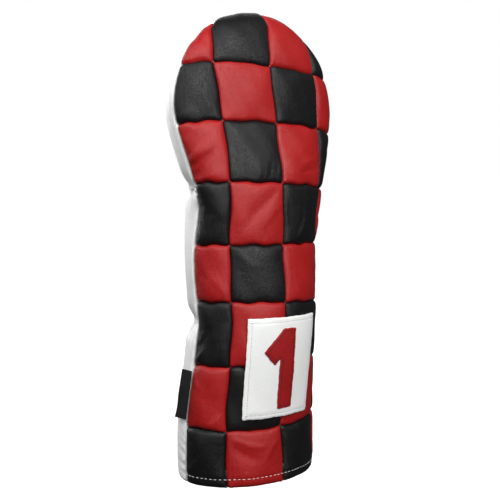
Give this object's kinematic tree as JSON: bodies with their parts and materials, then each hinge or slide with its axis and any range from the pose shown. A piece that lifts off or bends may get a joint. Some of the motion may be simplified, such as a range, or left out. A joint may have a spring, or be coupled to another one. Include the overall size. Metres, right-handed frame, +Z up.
{
  "type": "golf driver head cover",
  "caption": "Leather sleeve with a rounded head pocket, a gathered neck, a two-colour patchwork front, a plain back and a numeral patch.",
  "frame": {"origin": "middle of the mouth, on the surface that the hem stands on", "axes": "+Z up towards the crown, -Y out of the chequered front panel, +X towards the front panel's right side as seen from the front"},
  "size_m": [0.1376, 0.0913, 0.3294],
  "materials": {
    "red_leather": "semi-matte full-grain leather with a fine pebble grain",
    "black_leather": "semi-matte full-grain leather with a fine pebble grain",
    "white_leather": "semi-matte full-grain leather",
    "numeral_leather": "matte leather with a raw cut edge",
    "fleece": "short-pile grey fleece",
    "elastic": "ribbed elastic webbing",
    "white_thread": "twisted sewing thread",
    "grey_thread": "twisted sewing thread",
    "dark_thread": "twisted sewing thread",
    "label_ribbon": "plain woven ribbon, no lettering"
  },
  "bodies": {
    "root": {"back_lining": "fleece", "back_panel": "white_leather", "check_r1_c1": "red_leather", "check_r1_c2": "black_leather", "check_r1_c3": "red_leather", "check_r1_c4": "black_leather", "check_r2_c1": "black_leather", "check_r2_c2": "red_leather", "check_r2_c3": "black_leather", "check_r2_c4": "red_leather", "check_r3_c1": "red_leather", "check_r3_c2": "black_leather", "check_r3_c3": "red_leather", "check_r3_c4": "black_leather", "check_r4_c1": "black_leather", "check_r4_c2": "red_leather", "check_r4_c3": "black_leather", "check_r4_c4": "red_leather", "check_r5_c1": "red_leather", "check_r5_c2": "black_leather", "check_r5_c3": "red_leather", "check_r5_c4": "black_leather", "check_r6_c1": "black_leather", "check_r6_c2": "red_leather", "check_r6_c3": "black_leather", "check_r6_c4": "red_leather", "check_r7_c1": "red_leather", "check_r7_c2": "black_leather", "check_r7_c3": "red_leather", "check_r7_c4": "black_leather", "check_r8_c1": "black_leather", "check_r8_c2": "red_leather", "check_r8_c3": "black_leather", "check_r8_c4": "red_leather", "elastic_lower": "elastic", "elastic_upper": "elastic", "front_lining": "fleece", "gather_stitching_lower": "white_thread", "gather_stitching_upper": "white_thread", "hem_stitching": "white_thread", "number_patch": "white_leather", "numeral_one": "numeral_leather", "numeral_stitching": "dark_thread", "patch_stitching": "grey_thread"},
    "label": {"seam_label": "label_ribbon"}
  },
  "joints": [
    {"name": "label_hinge", "type": "hinge", "parent": "root", "child": "label", "pos_m": [-0.0532, 0.0022, 0.062], "axis": [0.0972, -0.0848, 0.9916], "range_deg": [0, 130], "stiffness_Nm_per_rad": 0.0004}
  ]
}
